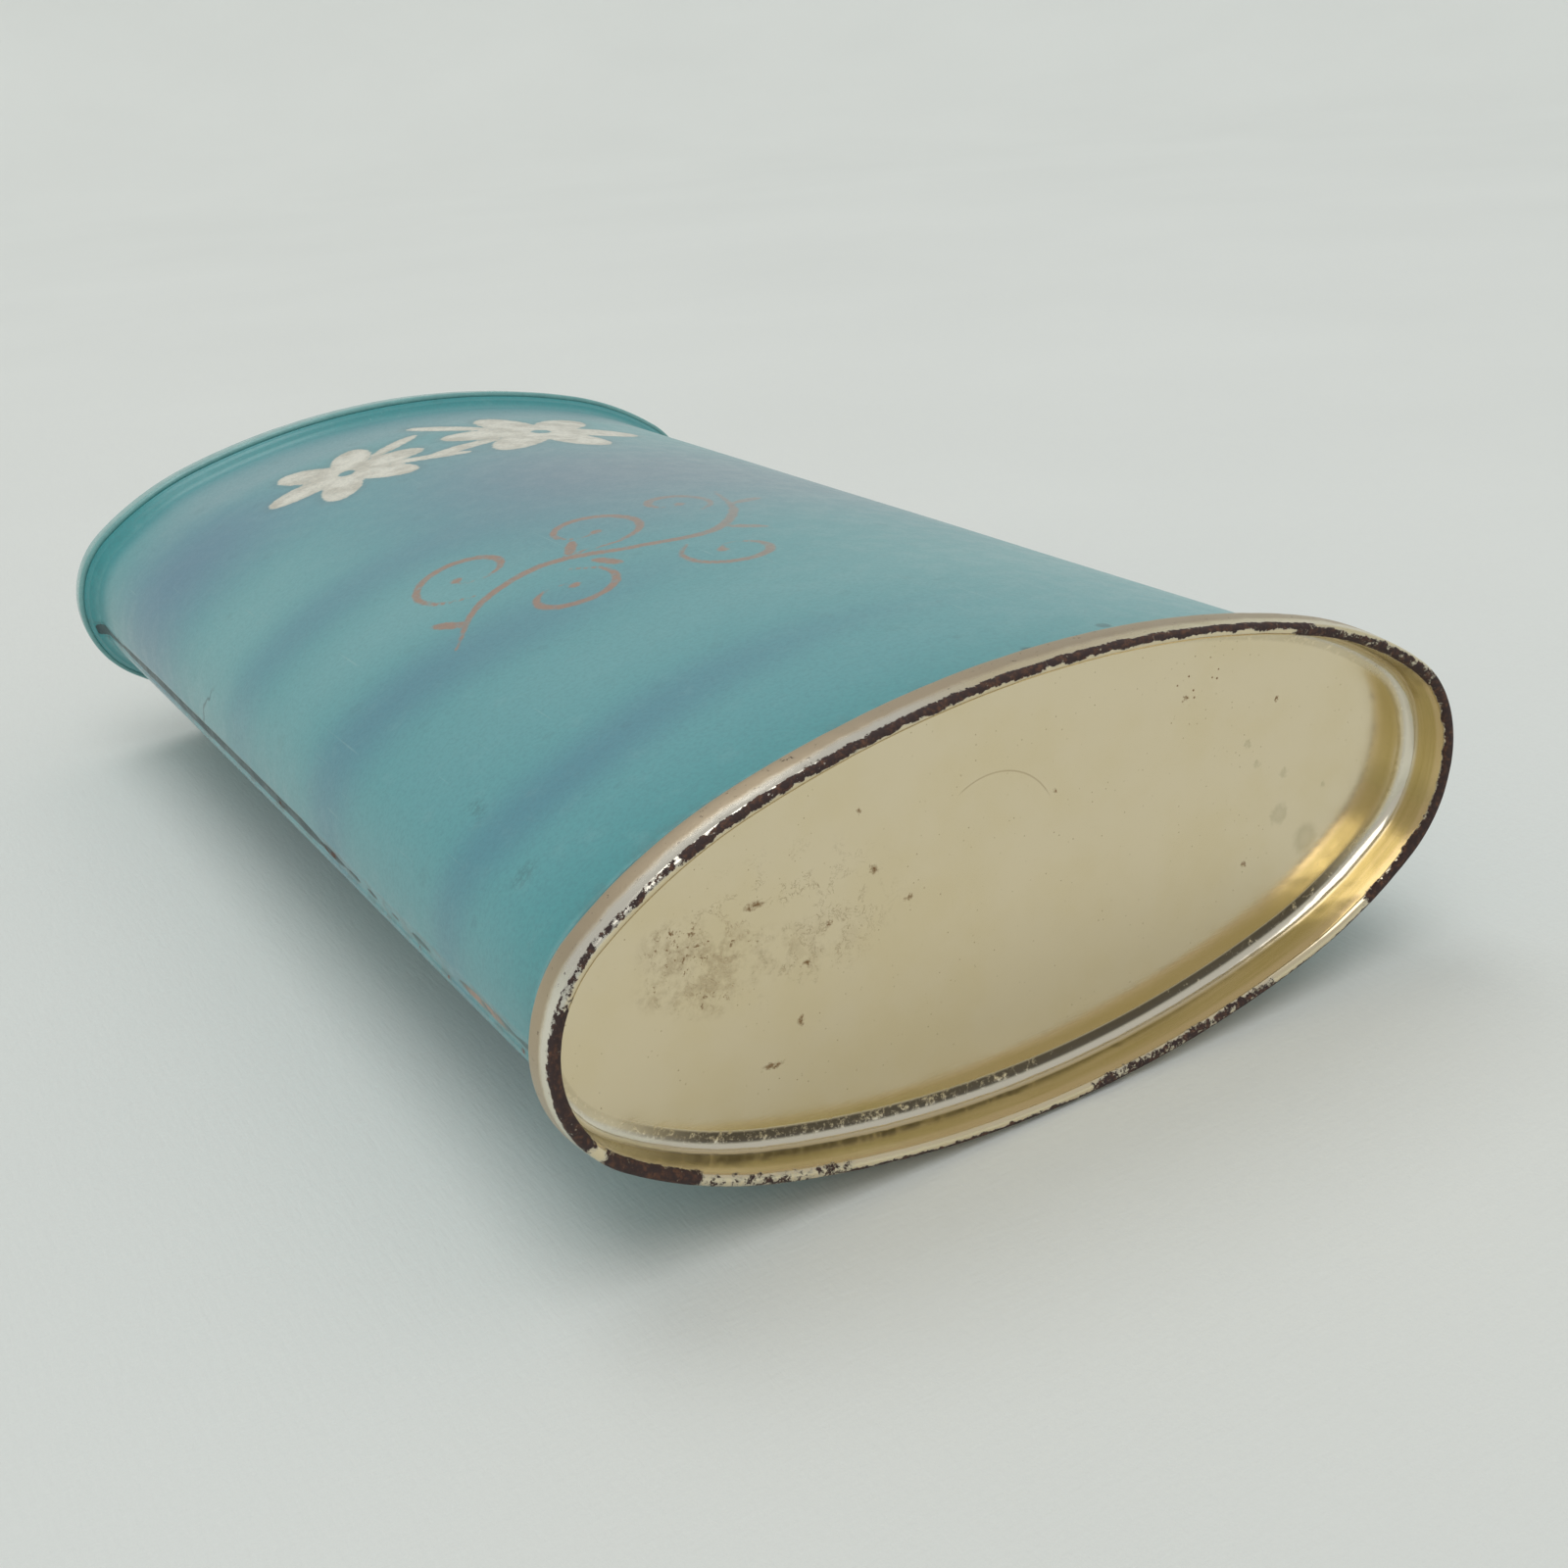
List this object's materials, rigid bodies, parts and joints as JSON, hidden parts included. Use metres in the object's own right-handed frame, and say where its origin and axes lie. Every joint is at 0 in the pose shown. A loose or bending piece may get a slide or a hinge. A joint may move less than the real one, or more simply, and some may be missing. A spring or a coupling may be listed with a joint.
{
  "type": "talcum powder tin",
  "caption": "Oval printed tinplate powder tin with double-seamed rims, sunk gold-lacquered base and a turning sifter dial, lying on its back.",
  "frame": {"origin": "middle of the surface the tin lies on, under the middle of its bounding box", "axes": "the tin lies on its back: +Z out of its printed front, +Y along its height toward the sifter end, +X to the right when the front is read with the sifter end up; turn it 90 degrees about +X to stand it on its bottom rim"},
  "size_m": [0.07, 0.1172, 0.0308],
  "materials": {
    "printed_tinplate": "satin lithographed teal and slate blue with a cream motif and a copper flourish",
    "teal_tinplate": "satin teal lacquer",
    "gold_lacquer": "glossy gold-lacquered tinplate, worn to rust at the crest",
    "dial_lacquer": "glossy gold-lacquered tinplate",
    "solder": "dull, stained",
    "sealing_compound": "matte",
    "bright_steel": "bright tinned steel"
  },
  "bodies": {
    "tin": {"body_wall": "printed_tinplate", "seam_solder": "solder", "bottom_end": "gold_lacquer", "bottom_compound": "sealing_compound", "top_end": "teal_tinplate", "top_compound": "sealing_compound", "dial_rivet": "bright_steel", "spring_washer": "bright_steel"},
    "dial": {"sifter_dial": "dial_lacquer"}
  },
  "joints": [
    {"name": "dial_turn", "type": "hinge", "parent": "tin", "child": "dial", "pos_m": [0, 0.05858, 0.0154], "axis": [0, 1, 0], "range_deg": [0, 30]}
  ]
}
